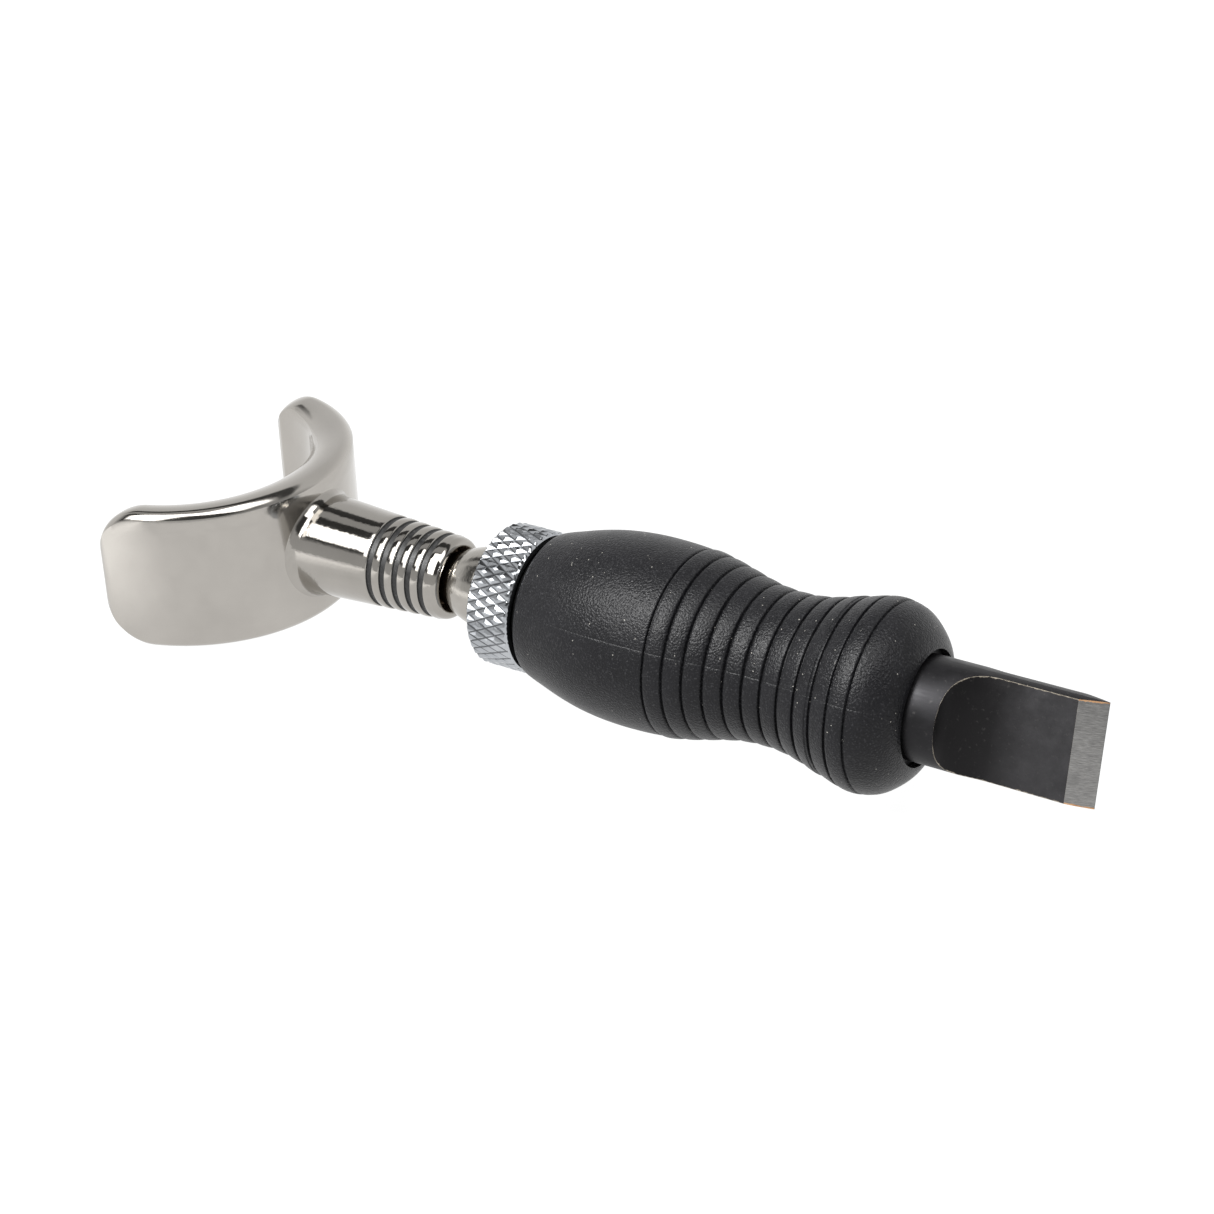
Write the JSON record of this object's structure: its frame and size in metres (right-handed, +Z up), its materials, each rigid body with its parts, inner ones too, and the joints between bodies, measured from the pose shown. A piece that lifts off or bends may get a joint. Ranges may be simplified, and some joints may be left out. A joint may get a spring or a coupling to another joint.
{
  "type": "swivel knife",
  "caption": "Swivel knife for carving leather: a finger saddle turning on a ball-bearing spindle above a knurled collar, a grooved rubber grip and a straight chisel-ended blade.",
  "frame": {"origin": "centre of the bounding box at the height of the surface the tool lies on", "axes": "+X runs along the tool from the finger saddle to the blade edge, +Z is up as the tool lies on its side, and the finger saddle spreads along Y"},
  "size_m": [0.0968, 0.031, 0.0185],
  "materials": {
    "nickel": "polished nickel plate, warm",
    "chrome": "bright chrome plate, diamond knurled",
    "bearing_steel": "ground and polished",
    "spring_steel": "dull, rolled",
    "black_oxide": "black oxide, satin, with a bright ground edge",
    "bronze": "sintered, oily",
    "cage_brass": "pressed, satin",
    "rubber": "matte, fine grain",
    "nitrile": "matte"
  },
  "bodies": {
    "barrel": {"barrel": "bearing_steel", "grip": "rubber", "collar": "chrome", "collar_seal": "nitrile", "preload_washer": "spring_steel", "bearing_outer_race": "bearing_steel", "bearing_shield_upper": "spring_steel", "bearing_shield_lower": "spring_steel", "lower_bush": "bronze", "thrust_ball": "bearing_steel"},
    "spindle": {"spindle": "nickel", "bearing_inner_race": "bearing_steel", "retaining_clip": "spring_steel"},
    "cage": {"bearing_cage": "cage_brass", "bearing_ball_1": "bearing_steel", "bearing_ball_2": "bearing_steel", "bearing_ball_3": "bearing_steel", "bearing_ball_4": "bearing_steel", "bearing_ball_5": "bearing_steel", "bearing_ball_6": "bearing_steel", "bearing_ball_7": "bearing_steel"},
    "yoke": {"yoke": "nickel"},
    "yoke_set_screw": {"yoke_set_screw": "black_oxide"},
    "blade": {"blade": "black_oxide"},
    "blade_set_screw": {"blade_set_screw": "black_oxide"}
  },
  "joints": [
    {"name": "swivel", "type": "hinge", "parent": "barrel", "child": "spindle", "pos_m": [-0.00131, 0, 0.00867], "axis": [0.9994, 0, 0.0341], "continuous": true},
    {"name": "cage_turn", "type": "hinge", "parent": "barrel", "child": "cage", "pos_m": [-0.00131, 0, 0.00867], "axis": [0.9994, 0, 0.0341], "continuous": true},
    {"name": "yoke_height", "type": "slide", "parent": "spindle", "child": "yoke", "axis": [-0.9994, 0, -0.0341], "range_m": [0, 0.005]},
    {"name": "yoke_screw_out", "type": "slide", "parent": "yoke", "child": "yoke_set_screw", "axis": [0, 1, 0], "range_m": [0, 0.004]},
    {"name": "blade_pull", "type": "slide", "parent": "barrel", "child": "blade", "axis": [0.9994, 0, 0.0341], "range_m": [0, 0.0135]},
    {"name": "blade_screw_out", "type": "slide", "parent": "barrel", "child": "blade_set_screw", "axis": [0.0074, 0.9763, -0.2163], "range_m": [0, 0.007]}
  ],
  "couplings": [
    {"joint": "cage_turn", "follows": "swivel", "ratio": 0.4013}
  ]
}
